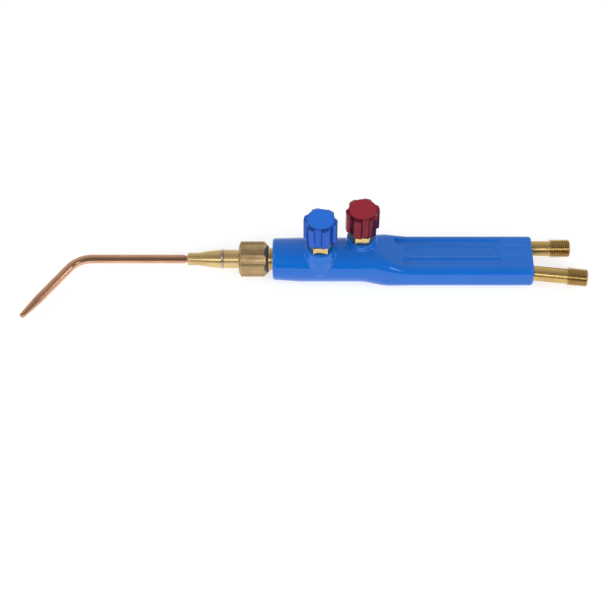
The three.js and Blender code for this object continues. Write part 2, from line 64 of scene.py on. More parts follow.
# the torch's own stations: along X from the handle's front face, heights from the neck's axis
neckLow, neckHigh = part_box("neck")
axisHeight = (neckLow.z + neckHigh.z) / 2
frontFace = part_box("handle_casting")[0].x
rearFace = (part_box("handle_casting")[1].x - frontFace) / mm
jointPlace = {j["name"]: Vector(j["pos_m"]) for j in frame["record"]["behaviour"]["joints"]}


def spot(station, sideways=0.0, height=0.0):
    return Vector((frontFace + station * mm, sideways * mm, axisHeight + height * mm))


# camera and light

camera = {"target": (-0.1176, -0.0247, -0.0080), "elevation": 50.25, "distance": 1.22, "lens": 101.0}
# the two fills are soft and show in no reflection, and the others give the glints on metal and paint
lamps = {
    "key_fill": {"place": (-0.50, -1.12, 0.84), "size": (0.6, 0.5), "watts": 6.3, "glints": False},
    "side_fill": {"place": (0.41, -1.0, 0.84), "size": (0.5, 0.4), "watts": 2.0, "glints": False},
    "left_glint": {"place": (-1.27, -0.29, 0.74), "size": (0.5, 0.6), "watts": 4.4, "glints": True},
    "right_glint": {"place": (1.03, -0.29, 0.74), "size": (0.5, 0.6), "watts": 4.4, "glints": True},
    "bend_glint": {"place": (0.41, -0.91, 0.82), "size": (0.16, 0.16), "watts": 0.8, "glints": True},
    "brass_strip": {"place": (-0.15, -1.05, 0.79), "size": (2.0, 0.3), "watts": 5.6, "glints": True},
}
brassOnly = bpy.data.collections.new("brass_pieces")    # the strip lights nothing else
lampAim = Vector((-0.12, 0, 0))     # the middle of the torch
floor = {"size": 6.0, "grey": 0.5, "glow": 0.66, "below": 0.0002}


def addCamera():
    lean = math.radians(camera["elevation"])
    back = Vector((0, -math.cos(lean), math.sin(lean)))
    data = bpy.data.cameras.new("bench_camera")
    data.lens = camera["lens"]
    data.sensor_width = 36
    data.clip_end = 20
    lens = bpy.data.objects.new("bench_camera", data)
    lens.location = Vector(camera["target"]) + back * camera["distance"]
    lens.rotation_euler = (math.pi / 2 - lean, 0, 0)
    bpy.context.scene.collection.objects.link(lens)
    bpy.context.scene.camera = lens


def addLamp(name, setting):
    data = bpy.data.lights.new(name, "AREA")
    data.shape = "RECTANGLE"
    data.size, data.size_y = setting["size"]
    data.energy = setting["watts"]
    lamp = bpy.data.objects.new(name, data)
    lamp.location = setting["place"]
    lamp.rotation_euler = (lampAim - lamp.location).to_track_quat("-Z", "Y").to_euler()
    lamp.visible_glossy = setting["glints"]
    if name == "brass_strip":
        lamp.light_linking.receiver_collection = brassOnly
    bpy.context.scene.collection.objects.link(lamp)


addCamera()
for lampName, lampSetting in lamps.items():
    addLamp(lampName, lampSetting)
print("camera and lamps in place")


# shader tools

class Wire:
    # a node's socket that can be used in sums
    def __init__(self, tree, socket):
        self.tree = tree
        self.socket = socket

    def sum(self, operation, first, second):
        node = self.tree.nodes.new("ShaderNodeMath")
        node.operation = operation
        for place, value in enumerate((first, second)):
            if isinstance(value, Wire):
                self.tree.links.new(value.socket, node.inputs[place])
            else:
                node.inputs[place].default_value = value
        return Wire(self.tree, node.outputs[0])

    def __add__(self, other):
        return self.sum("ADD", self, other)

    def __radd__(self, other):
        return self.sum("ADD", other, self)

    def __sub__(self, other):
        return self.sum("SUBTRACT", self, other)

    def __rsub__(self, other):
        return self.sum("SUBTRACT", other, self)

    def __mul__(self, other):
        return self.sum("MULTIPLY", self, other)

    def __rmul__(self, other):
        return self.sum("MULTIPLY", other, self)


class Finish:
    def __init__(self, name):
        self.material = bpy.data.materials.new(name)
        self.material.use_nodes = True
        self.tree = self.material.node_tree
        self.tree.nodes.clear()
        self.points = self.node("TexCoord", out="Object")

    def node(self, kind, settings=None, sockets=None, out=0):
        made = self.tree.nodes.new("ShaderNode" + kind)
        for setting, value in (settings or {}).items():
            if setting == "stops":
                self.setStops(made.color_ramp, value)
            else:
                setattr(made, setting, value)
        for socket, value in (sockets or {}).items():
            if isinstance(value, Wire):
                self.tree.links.new(value.socket, made.inputs[socket])
            else:
                made.inputs[socket].default_value = value
        return Wire(self.tree, made.outputs[out]) if made.outputs else made

    def setStops(self, ramp, stops):
        while len(ramp.elements) > 1:
            ramp.elements.remove(ramp.elements[-1])
        ramp.elements[0].position = stops[0][0]
        ramp.elements[0].color = stops[0][1]
        for position, colour in stops[1:]:
            ramp.elements.new(position).color = colour

    def noise(self, scale, detail=3.0, stretch=(1, 1, 1), rough=0.55):
        where = self.points
        if stretch != (1, 1, 1):
            where = self.node("Mapping", sockets={"Vector": where, "Scale": stretch})
        return self.node("TexNoise", sockets={
            "Vector": where, "Scale": scale, "Detail": detail, "Roughness": rough})

    def between(self, share, low, high):
        # 0 below low, 1 above high, and a soft step from one to the other
        return self.node("MapRange", {"interpolation_type": "SMOOTHSTEP"},
                         {"Value": share, "From Min": low, "From Max": high})

    def blendColours(self, share, first, second):
        return self.node("Mix", {"data_type": "RGBA"}, {0: share, 6: first, 7: second}, out=2)

    def bump(self, height, strength, distance):
        return self.node("Bump", sockets={"Height": height, "Strength": strength, "Distance": distance})

    def close(self, **sockets):
        named = {socket.replace("_", " "): value for socket, value in sockets.items()}
        shader = self.node("BsdfPrincipled", sockets=named)
        self.node("OutputMaterial", sockets={"Surface": shader})
        return self.material


def shade(red, green, blue):
    return (red, green, blue, 1.0)


# finishes

paint = {
    "blue": shade(0.004, 0.150, 0.63),
    "deep": shade(0.004, 0.138, 0.59),
    "dust": shade(0.10, 0.20, 0.50),
    "gloss": 0.06,
    "castingWave": 0.00006,
}


def bluePaint():
    finish = Finish("gloss_blue_paint")
    wave = finish.noise(110, 2.0)
    peel = finish.noise(1500, 2.0)
    patch = finish.noise(35, 4.0)
    specks = finish.between(finish.noise(2600, 1.0), 0.74, 0.80)
    colour = finish.blendColours(finish.between(patch, 0.35, 0.7), paint["blue"], paint["deep"])
    colour = finish.blendColours(specks * 0.25, colour, paint["dust"])
    rough = paint["gloss"] + patch * 0.08 + specks * 0.15
    height = wave * 1.0 + peel * 0.12
    return finish.close(
        Base_Color=colour, Roughness=rough, Coat_Weight=0.1, Coat_Roughness=0.05, IOR=1.45,
        Normal=finish.bump(height, 0.35, paint["castingWave"]))


anodising = {"rings": 5200.0, "ringBump": 0.00001, "sideLines": 2600.0, "rough": 0.23}


def anodised(name, colour, dark, top, centre):
    # satin aluminium: turned rings on top, drawn lines down the sides, and painted light: upward faces
    # take a lighter copy of the colour, while the sides and chamfers keep the plain, darker colour
    finish = Finish(name)
    fromAxis = finish.node("VectorMath", {"operation": "SUBTRACT"},
                           {0: finish.points, 1: (centre.x, centre.y, 0)})
    flat = finish.node("VectorMath", {"operation": "MULTIPLY"}, {0: fromAxis, 1: (1, 1, 0)})
    radius = finish.node("VectorMath", {"operation": "LENGTH"}, {0: flat}, out="Value")
    rings = finish.node("Math", {"operation": "SINE"}, {0: radius * anodising["rings"]})
    facing = finish.node("NewGeometry", out="Normal")
    up = finish.between(finish.node("SeparateXYZ", sockets={0: facing}, out="Z"), 0.88, 0.97)
    lines = finish.noise(anodising["sideLines"], 2.0, (1, 1, 0.03))
    grain = finish.noise(3800, 2.0)
    cloud = finish.noise(120, 3.0)
    tone = finish.blendColours(finish.between(cloud, 0.3, 0.75) * 0.6, colour, dark)
    # painted highlight: the upward faces are given the lighter top colour
    tone = finish.blendColours(up, tone, top)
    height = up * (rings * 0.5) + (1 - up) * lines + grain * 0.4
    rough = anodising["rough"] + up * 0.09 + grain * 0.06
    return finish.close(
        Base_Color=tone, Roughness=rough, Metallic=0.9,
        Normal=finish.bump(height, 0.5, anodising["ringBump"]))


def turnedMetal(name, colour, stain, rough, marks=0.6, stainShare=0.5, stretch=(1, 0.02, 0.02),
                depth=0.00001, mottle=0.0, paintThreadRootShade=False):
    # bright turned metal: fine lathe rings across the axis, soft stains and a little grain
    finish = Finish(name)
    rings = finish.noise(4200, 3.0, stretch)
    broad = finish.noise(45, 4.0)
    grain = finish.noise(2400, 2.0)
    tone = finish.blendColours(finish.between(broad, 0.42, 0.78) * stainShare, colour, stain)
    if mottle:
        spots = finish.between(finish.noise(650, 4.0), 0.42, 0.66)
        tone = finish.blendColours(spots * mottle, tone, stain)
    # painted shade: the thread's roots are darkened towards brown to stand in for the shade that falls in
    # them
    if paintThreadRootShade:
        inGroove = finish.node("Attribute", {"attribute_name": "inGroove"}, out="Fac")
        tone = finish.blendColours(finish.between(inGroove, 0.6, 1.0) * 0.5, tone, threadRootShadeColour)
    roughness = rough + rings * 0.08 + finish.between(broad, 0.4, 0.8) * 0.10 + grain * 0.03
    height = rings * marks + grain * 0.25
    return finish.close(
        Base_Color=tone, Roughness=roughness, Metallic=1.0,
        Normal=finish.bump(height, 0.5, depth))


def plainRubber():
    finish = Finish("black_rubber")
    grain = finish.noise(1800, 3.0)
    tone = finish.blendColours(grain, shade(0.012, 0.012, 0.013), shade(0.035, 0.035, 0.037))
    return finish.close(Base_Color=tone, Roughness=0.55 + grain * 0.2,
                        Normal=finish.bump(grain, 0.4, 0.00003))


brassTone = shade(0.78, 0.56, 0.24)
# the colour of the shade painted into the hose stubs' thread roots
threadRootShadeColour = shade(0.16, 0.09, 0.03)
brassStain = shade(0.42, 0.25, 0.085)
finishes = {
    "paint": bluePaint(),
    # each knob's third colour is the lit copy painted onto its top as a painted highlight
    "blueKnob": anodised(
        "satin_blue_aluminium", shade(0.030, 0.125, 0.56), shade(0.022, 0.10, 0.46),
        shade(0.035, 0.225, 0.95), jointPlace["oxygen_knob_turn"]),
    "redKnob": anodised(
        "satin_red_aluminium", shade(0.23, 0.024, 0.038), shade(0.16, 0.015, 0.026),
        shade(0.43, 0.036, 0.060), jointPlace["fuel_knob_turn"]),
    "neckBrass": turnedMetal(
        "polished_turned_brass", shade(0.74, 0.55, 0.26), brassStain, 0.24, depth=0.000004),
    # the hose stubs carry painted shade in their thread roots
    "stubBrass": turnedMetal(
        "polished_tube_brass", shade(0.66, 0.46, 0.17), brassStain, 0.17, stainShare=0.35,
        depth=0.000004, paintThreadRootShade=True),
    "nutBrass": turnedMetal(
        "satin_forged_brass", shade(0.54, 0.39, 0.20), shade(0.36, 0.24, 0.11), 0.32, marks=0.9,
        stainShare=0.7, stretch=(0.25, 0.25, 0.25), depth=0.00002, mottle=0.55),
    "glandBrass": turnedMetal("bright_gland_brass", brassTone, brassStain, 0.14, stretch=(0.05, 0.05, 1)),
    "copper": turnedMetal(
        "drawn_copper", shade(0.76, 0.43, 0.28), shade(0.52, 0.26, 0.16), 0.12,
        stretch=(0.08, 0.3, 0.3), stainShare=0.6, depth=0.000001),
    "steel": turnedMetal(
        "dark_spring_steel", shade(0.55, 0.55, 0.55), shade(0.20, 0.20, 0.21), 0.14, stretch=(1, 1, 1)),
    "rubber": plainRubber(),
}
print("finishes mixed:", len(finishes))


# modelling tools

def pick(*pieces):
    if bpy.context.object and bpy.context.object.mode != "OBJECT":
        bpy.ops.object.mode_set(mode="OBJECT")
    bpy.ops.object.select_all(action="DESELECT")
    for piece in pieces:
        piece.select_set(True)
        bpy.context.view_layer.objects.active = piece


def selectWhere(piece, kind, test):
    # in edit mode, selects just the vertices, edges or faces that pass the test
    bpy.ops.mesh.select_mode(type=kind)
    bpy.ops.mesh.select_all(action="DESELECT")
    mesh = bmesh.from_edit_mesh(piece.data)
    for part in {"VERT": mesh.verts, "EDGE": mesh.edges, "FACE": mesh.faces}[kind]:
        part.select_set(test(part))
    mesh.select_flush_mode()
    bmesh.update_edit_mesh(piece.data)


def settle(piece, place=None):
    # bakes the object's place into its mesh
    pick(piece)
    if place is not None:
        piece.matrix_world = place
    bpy.ops.object.transform_apply(location=True, rotation=True, scale=True)


def standing(direction, start):
    # the matrix that stands an upright piece along a direction
    return Matrix.Translation(start) @ Vector(direction).to_track_quat("Z", "Y").to_matrix().to_4x4()


def extrudeRing(step, grow=1.0, centre=(0, 0, 0)):
    bpy.ops.mesh.extrude_region_move(TRANSFORM_OT_translate={"value": step})
    if grow != 1.0:
        bpy.ops.transform.resize(value=(grow, grow, grow), center_override=centre)


def closeShell(loop=False):
    bpy.ops.mesh.select_all(action="SELECT")
    if loop:
        bpy.ops.mesh.remove_doubles(threshold=0.000001)
    else:
        bpy.ops.mesh.fill_holes(sides=0)
    bpy.ops.mesh.normals_make_consistent(inside=False)
    bpy.ops.object.mode_set(mode="OBJECT")


def turnPiece(name, profile, start, direction, sides=72, loop=False):
    # a lathe job: profile holds (station, radius) in mm, loop closes it on its first point
    pick()
    station, radius = profile[0]
    bpy.ops.mesh.primitive_circle_add(vertices=sides, radius=radius * mm, location=(0, 0, 0))
    piece = bpy.context.object
    piece.name = name
    bpy.ops.object.mode_set(mode="EDIT")
    bpy.ops.mesh.select_mode(type="EDGE")
    bpy.ops.mesh.select_all(action="SELECT")
    bpy.ops.transform.translate(value=(0, 0, station * mm))
    for nextStation, nextRadius in profile[1:] + profile[:1] * loop:
        extrudeRing((0, 0, (nextStation - station) * mm), nextRadius / radius, (0, 0, nextStation * mm))
        station, radius = nextStation, nextRadius
    closeShell(loop)
    settle(piece, standing(direction, start))
    return piece


def combine(piece, tool, operation):
    pick(piece)
    change = piece.modifiers.new("change", "BOOLEAN")
    change.operation = operation
    change.solver = "EXACT"
    change.object = tool
    bpy.ops.object.modifier_apply(modifier=change.name)
    bpy.data.objects.remove(tool, do_unlink=True)


def softenEdges(piece, width, steps=2, angle=28):
    pick(piece)
    bevel = piece.modifiers.new("edges", "BEVEL")
    bevel.width = width * mm
    bevel.segments = steps
    bevel.limit_method = "ANGLE"
    bevel.angle_limit = math.radians(angle)
    bevel.harden_normals = False
    bpy.ops.object.modifier_apply(modifier=bevel.name)
    bpy.ops.object.shade_smooth_by_angle(angle=math.radians(32))


def hand(piece, finish, body, slotName, *nodes):
    piece.data.materials.clear()
    piece.data.materials.append(finishes[finish])
    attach(piece, body)
    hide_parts(*nodes)
    if slotName == "brass":
        brassOnly.objects.link(piece)
    print("made", piece.name, len(piece.data.polygons), "faces")


def lobedBlank(name, lobes, bottom, top):
    # an upright bar with raised lobes round it
    pick()
    bpy.ops.mesh.primitive_circle_add(vertices=180, radius=lobes["waist"] * mm, fill_type="NGON")
    piece = bpy.context.object
    piece.name = name
    bpy.ops.object.mode_set(mode="EDIT")
    pitch = 360 / lobes["count"]

    def offCentre(corner):
        angle = math.degrees(math.atan2(corner.co.y, corner.co.x))
        return abs((angle + pitch / 2) % pitch - pitch / 2)

    half = lobes["angle"] / 2
    for step in range(0, 30, 2):
        share = min(1.0, max(0.0, 1 - (step - half) / lobes["flank"]))
        if share > 0:
            radius = lobes["waist"] + share * (lobes["radius"] - lobes["waist"])
            grow = radius / lobes["waist"]
            selectWhere(piece, "VERT", lambda corner: abs(offCentre(corner) - step) < 0.5)
            bpy.ops.transform.resize(value=(grow, grow, 1), center_override=(0, 0, 0))
    bpy.ops.mesh.select_mode(type="FACE")
    bpy.ops.mesh.select_all(action="SELECT")
    bpy.ops.transform.translate(value=(0, 0, bottom * mm))
    bpy.ops.mesh.extrude_region_move(TRANSFORM_OT_translate={"value": (0, 0, (top - bottom) * mm)})
    bpy.ops.mesh.select_all(action="SELECT")
    bpy.ops.mesh.normals_make_consistent(inside=False)
    bpy.ops.object.mode_set(mode="OBJECT")
    return piece


# handle casting

handle = {
    "length": 185.5, "noseRadius": 14.9, "noseRound": 1.5, "barrelRadius": 15.8, "barrelDrop": 0.6,
    "coneEnd": 20, "underside": -12.7, "gripTop": 6.7, "gripHalfWidth": 18.37,
    "topCorner": 5.1, "bottomCorner": 8, "widens": (64, 83), "flattens": (68, 98), "squares": (60, 97),
    "rearRound": 2, "ringSides": 96, "voxel": 0.5, "smoothing": 3, "keepShare": 0.5,
}
boss = {"radius": 10.7, "top": 19, "foot": 0.9, "footTop": 12.5, "footEnd": 16, "rim": 0.8}
chamber = {"floor": -8, "radius": 4.6, "top": 5, "bore": 6.3}
grooves = {
    "offsets": (10.0, -7.4), "halfWidth": 2.5, "depth": 1.2, "slope": 0.9,
    "back": 162.7, "fronts": (86.5, 92.5),
}
label = {"offset": 1.2, "halfWidth": 5.0, "depth": 0.5, "slope": 0.25, "front": 94.5, "back": 160.3}
marks = {"height": 0.3, "width": 1.6, "front": 165.5, "back": 180, "offsets": (-2.4, 5.6)}
stub = {
    "sideways": 11.7, "height": -2, "splay": 7.2, "radius": 5.35, "bore": 3.8, "mouth": 4.5, "inside": 26,
    "lengths": {"oxygen": 38.3, "fuel": 27.7}, "thread": 6.58, "root": 5.72, "pitch": 1.337, "turns": 10,
    "gap": 0.3,
}
gasLine = {"radius": 3.0, "height": -2}
socket = {"radius": 10.0, "depth": 14}


def softStep(value, low, high):
    share = min(1.0, max(0.0, (value - low) / (high - low)))
    return share * share * (3 - 2 * share)


def mixed(first, second, share):
    return first + (second - first) * share


def gripSection(station):
    # half width, half height, height of the middle, top and bottom corner radius, all in mm
    nose = min(station / handle["noseRound"], 1)
    rounding = handle["noseRound"] * (1 - math.sqrt(1 - (1 - nose) ** 2))
    cone = min(station / handle["coneEnd"], 1)
    barrel = mixed(handle["noseRadius"], handle["barrelRadius"], cone) - rounding
    centre = -handle["barrelDrop"] * cone
    flat = softStep(station, *handle["flattens"])
    square = softStep(station, *handle["squares"])
    halfWidth = mixed(barrel, handle["gripHalfWidth"], softStep(station, *handle["widens"]))
    top = mixed(centre + barrel, handle["gripTop"], flat)
    bottom = mixed(centre - barrel, handle["underside"], flat)
    halfHeight = (top - bottom) / 2
    roundest = min(halfWidth, halfHeight)
    corners = [min(mixed(barrel, handle[name], square), roundest)
               for name in ("topCorner", "bottomCorner")]
    return halfWidth, halfHeight, (top + bottom) / 2, corners[0], corners[1]


def addSection(piece, station):
    # one ring of the casting: a circle whose quarters are scaled to the corners and moved apart
    halfWidth, halfHeight, middle, topCorner, bottomCorner = gripSection(station)
    intoRear = max(0.0, (station - handle["length"]) / handle["rearRound"] + 1)
    shrink = handle["rearRound"] * (1 - math.sqrt(max(0.0, 1 - intoRear ** 2)))
    centre = spot(station, 0, middle)
    bpy.ops.mesh.primitive_circle_add(vertices=handle["ringSides"], radius=mm, location=centre,
                                      rotation=(0, math.pi / 2, 0))
    mesh = bmesh.from_edit_mesh(piece.data)
    mesh.verts.ensure_lookup_table()
    ring = {corner.index for corner in mesh.verts if corner.select}
    near = 0.05 * mm

    def group(test):
        selectWhere(piece, "VERT", lambda corner: corner.index in ring and test(corner.co - centre))

    group(lambda away: away.z > -near)
    bpy.ops.transform.resize(value=(1, topCorner - shrink, topCorner - shrink), center_override=centre)
    group(lambda away: away.z < -near)
    bottomScale = bottomCorner - shrink
    bpy.ops.transform.resize(value=(1, bottomScale, bottomScale), center_override=centre)
    moves = [
        (lambda away: away.y > near and away.z > -near, (0, halfWidth - topCorner, 0)),
        (lambda away: away.y < -near and away.z > -near, (0, topCorner - halfWidth, 0)),
        (lambda away: away.y > near and away.z < -near, (0, halfWidth - bottomCorner, 0)),
        (lambda away: away.y < -near and away.z < -near, (0, bottomCorner - halfWidth, 0)),
        (lambda away: away.z > near, (0, 0, halfHeight - topCorner)),
        (lambda away: away.z < -near, (0, 0, bottomCorner - halfHeight)),
    ]
    for test, move in moves:
        group(test)
        bpy.ops.transform.translate(value=Vector(move) * mm)


def castingBlank():
    pick()
    bpy.ops.mesh.primitive_circle_add(vertices=3, radius=mm)
    piece = bpy.context.object
    bpy.ops.object.mode_set(mode="EDIT")
    bpy.ops.mesh.delete(type="VERT")
    stations = [0, 0.3, 0.8, 1.5, handle["coneEnd"], 40]
    stations += [60 + 2 * step for step in range(20)]
    stations += [handle["length"] - back for back in (60, 30, 2, 1, 0.3, 0)]
    for station in stations:
        addSection(piece, station)
    bpy.ops.mesh.select_mode(type="EDGE")
    bpy.ops.mesh.select_all(action="SELECT")
    bpy.ops.mesh.bridge_edge_loops()
    closeShell()
    settle(piece)
    return piece


def stripCutter(front, back, sideways, halfWidth, depth, slope):
    # a stadium-ended bar that leaves a sunken strip with sloping walls in the grip's flat top
    pick()
    floorHeight = handle["gripTop"] - depth
    middle = (front + back) / 2
    bpy.ops.mesh.primitive_circle_add(vertices=32, radius=(halfWidth - slope) * mm, fill_type="NGON",
                                      location=spot(middle, sideways, floorHeight))
    piece = bpy.context.object
    settle(piece)
    bpy.ops.object.mode_set(mode="EDIT")
    ends = {
        1: spot(back - halfWidth, sideways, floorHeight),
        -1: spot(front + halfWidth, sideways, floorHeight),
    }
    reach = (back - front) / 2 - halfWidth
    centreX = spot(middle).x

    # the two halves part about the middle line, whose two corners go with the rear half
    selectWhere(piece, "VERT", lambda corner: corner.co.x - centreX < 1e-7)
    bpy.ops.transform.translate(value=(-reach * mm, 0, 0))
    selectWhere(piece, "VERT", lambda corner: corner.co.x - centreX > 1e-7)
    bpy.ops.transform.translate(value=(reach * mm, 0, 0))
    bpy.ops.mesh.select_mode(type="FACE")
    bpy.ops.mesh.select_all(action="SELECT")
    bpy.ops.mesh.extrude_region_move(TRANSFORM_OT_translate={"value": (0, 0, depth * mm)})
    grow = halfWidth / (halfWidth - slope)
    topHeight = spot(0, 0, handle["gripTop"]).z
    for side, centre in ends.items():
        selectWhere(piece, "VERT", lambda corner: corner.co.z > topHeight - 1e-6
                    and (corner.co.x - centreX) * side > 0)
        bpy.ops.transform.resize(value=(grow, grow, 1), center_override=centre)
    selectWhere(piece, "FACE", lambda face: face.calc_center_median().z > topHeight - 1e-6)
    bpy.ops.mesh.extrude_region_move(TRANSFORM_OT_translate={"value": (0, 0, 6 * mm)})
    bpy.ops.mesh.select_all(action="SELECT")
    bpy.ops.mesh.normals_make_consistent(inside=False)
    bpy.ops.object.mode_set(mode="OBJECT")
    return piece


def block(low, high):
    pick()
    middle = (low + high) / 2
    bpy.ops.mesh.primitive_cube_add(size=1, location=middle, scale=high - low)
    piece = bpy.context.object
    settle(piece)
    return piece


valves = {gas: jointPlace[gas + "_knob_turn"] for gas in ("oxygen", "fuel")}
splay = math.radians(stub["splay"])
inlets = {
    "oxygen": {"mouth": spot(rearFace, -stub["sideways"], stub["height"]),
               "along": Vector((math.cos(splay), -math.sin(splay), 0))},
    "fuel": {"mouth": spot(rearFace, stub["sideways"], stub["height"]), "along": Vector((1, 0, 0))},
}


def makeHandle():
    casting = castingBlank()
    for gas, axis in valves.items():
        foot = Vector((axis.x, axis.y, axisHeight))
        combine(casting, turnPiece("boss", [
            (0, boss["radius"] + boss["foot"]), (boss["footTop"], boss["radius"] + boss["foot"]),
            (mixed(boss["footTop"], boss["footEnd"], 0.4), boss["radius"] + boss["foot"] * 0.35),
            (boss["footEnd"], boss["radius"]), (boss["top"] - boss["rim"], boss["radius"]),
            (boss["top"] - boss["rim"] * 0.3, boss["radius"] - boss["rim"] * 0.3),
            (boss["top"], boss["radius"] - boss["rim"])], foot, (0, 0, 1), 96), "UNION")
    for offset in marks["offsets"]:
        low = spot(marks["front"], offset - marks["width"] / 2, handle["gripTop"] - 1)
        high = spot(marks["back"], offset + marks["width"] / 2, handle["gripTop"] + marks["height"])
        combine(casting, block(low, high), "UNION")
    combine(casting, block(spot(-10, -40, -40), spot(300, 40, handle["underside"])), "DIFFERENCE")
    for offset, front in zip(grooves["offsets"], grooves["fronts"]):
        combine(casting, stripCutter(front, grooves["back"], offset, grooves["halfWidth"],
                                     grooves["depth"], grooves["slope"]), "DIFFERENCE")
    combine(casting, stripCutter(label["front"], label["back"], label["offset"], label["halfWidth"],
                                 label["depth"], label["slope"]), "DIFFERENCE")
    combine(casting, turnPiece("socket", [(-1, socket["radius"]), (socket["depth"], socket["radius"])],
                               spot(0), (1, 0, 0)), "DIFFERENCE")
    for gas, axis in valves.items():
        foot = Vector((axis.x, axis.y, axisHeight))
        combine(casting, turnPiece("chamber", [
            (chamber["floor"], chamber["radius"]), (chamber["top"], chamber["radius"]),
            (chamber["top"], chamber["bore"]), (boss["top"] + 1, chamber["bore"])],
            foot, (0, 0, 1)), "DIFFERENCE")
        inlet = inlets[gas]
        bore = stub["radius"] + stub["gap"]
        inner = inlet["mouth"] - inlet["along"] * (stub["inside"] + stub["gap"]) * mm
        combine(casting, turnPiece("bore", [(0, bore), (stub["inside"] + 5, bore)],
                                   inner, inlet["along"]), "DIFFERENCE")
        line = foot + Vector((0, 0, gasLine["height"] * mm))
        run = inner - line
        combine(casting, turnPiece("line", [
            (0, gasLine["radius"]), (run.length / mm + 1, gasLine["radius"])], line, run), "DIFFERENCE")
    # a cast skin: every edge is rounded off by remeshing and smoothing
    pick(casting)
    skin = casting.modifiers.new("skin", "REMESH")
    skin.mode = "VOXEL"
    skin.voxel_size = handle["voxel"] * mm
    bpy.ops.object.modifier_apply(modifier=skin.name)
    relax = casting.modifiers.new("relax", "SMOOTH")
    relax.factor = 0.5
    relax.iterations = handle["smoothing"]
    bpy.ops.object.modifier_apply(modifier=relax.name)
    lighter = casting.modifiers.new("lighter", "DECIMATE")
    lighter.ratio = handle["keepShare"]
    bpy.ops.object.modifier_apply(modifier=lighter.name)
    bpy.ops.object.shade_smooth()
    casting.name = "painted_handle"
    hand(casting, "paint", "handle", "blue_paint", "handle_casting")


makeHandle()


# hose stubs

def threadRidge(length):
    # one helical ridge, wound on by a Screw modifier
    pick()
    bottom = length - stub["turns"] * stub["pitch"] - 0.9
    bpy.ops.mesh.primitive_circle_add(vertices=4, radius=mm, location=(0, 0, 0))
    piece = bpy.context.object
    half = stub["pitch"] * 0.47
    crest = stub["thread"] + 0.12
    corners = [(stub["root"] - 0.5, -half), (stub["root"] - 0.5, half), (crest, 0.07), (crest, -0.07)]
    for corner, (radius, height) in zip(piece.data.vertices, corners):
        corner.co = (radius * mm, 0, (bottom + height) * mm)
    winding = piece.modifiers.new("winding", "SCREW")
    winding.axis = "Z"
    winding.steps = winding.render_steps = 36
    winding.iterations = stub["turns"] + 1
    winding.screw_offset = stub["pitch"] * mm
    winding.use_normal_calculate = True
    bpy.ops.object.modifier_apply(modifier=winding.name)
    bpy.ops.object.mode_set(mode="EDIT")
    bpy.ops.mesh.select_all(action="SELECT")
    bpy.ops.mesh.remove_doubles(threshold=0.000001)
    bpy.ops.mesh.fill_holes(sides=6)
    bpy.ops.mesh.select_all(action="SELECT")
    bpy.ops.mesh.normals_make_consistent(inside=False)
    bpy.ops.object.mode_set(mode="OBJECT")
    return piece


def markGrooves(piece, inlet, threadStart):
    # the mask for the shade painted into the thread: an attribute that is 1 at the bottom of the thread
    # and 0 on its crests and everywhere else
    depths = piece.data.attributes.new("inGroove", "FLOAT", "POINT")
    for place, corner in enumerate(piece.data.vertices):
        out = corner.co - inlet["mouth"]
        station = out.dot(inlet["along"]) / mm
        radius = (out - inlet["along"] * out.dot(inlet["along"])).length / mm
        if station > threadStart - 0.3 and radius > stub["root"] - 0.4:
            depths.data[place].value = (stub["thread"] - radius) / (stub["thread"] - stub["root"])


def makeStub(gas):
    length = stub["lengths"][gas]
    inlet = inlets[gas]
    threadStart = length - stub["turns"] * stub["pitch"] - 0.6
    up = Vector((0, 0, 1))
    ridge = threadRidge(length)
    combine(ridge, turnPiece("trim", [
        (threadStart - 1.1, stub["root"] - 0.3), (threadStart - 0.4, stub["thread"]),
        (length - 1, stub["thread"]), (length - 0.15, stub["root"] - 0.1)], Vector(), up, 96), "INTERSECT")
    body = turnPiece(gas + "_hose_tail", [
        (6 - stub["inside"], stub["bore"]), (length - 1.2, stub["bore"]), (length, stub["mouth"]),
        (length, stub["root"] - 0.35), (length - 0.35, stub["root"]), (threadStart - 0.4, stub["root"]),
        (threadStart - 1, stub["radius"]), (-stub["inside"], stub["radius"])], Vector(), up)
    combine(body, ridge, "UNION")
    settle(body, standing(inlet["along"], inlet["mouth"]))
    softenEdges(body, 0.06, 1, 40)
    markGrooves(body, inlet, threadStart)
    hand(body, "stubBrass", "handle", "brass", gas + "_hose_stub")


for gasName in ("oxygen", "fuel"):
    makeStub(gasName)


# valves

gland = {
    "acrossFlats": 17.2, "foot": 0.9, "bottom": 19.3, "top": 26.5, "chamfer": 1.3, "shank": 6, "bore": 3.5,
    "edge": 0.14,
}
knob = {
    "count": 6, "radius": 11.9, "waist": 10.0, "angle": 26, "flank": 5, "bottom": 28.2, "top": 47,
    "topRadius": 9.65, "chamferDrop": 1.45, "edge": 0.28, "turns": {"oxygen": -10.7, "fuel": 11},
    "screwHeight": 34, "screwRadius": 1.5, "keyRadius": 0.75,
}
spindle = {
    "radius": 3, "neck": 1.9, "groove": (10.2, 11.8), "top": 44, "point": (-6.2, 0.4), "shoulder": -1.5,
    "gap": 0.3,
}


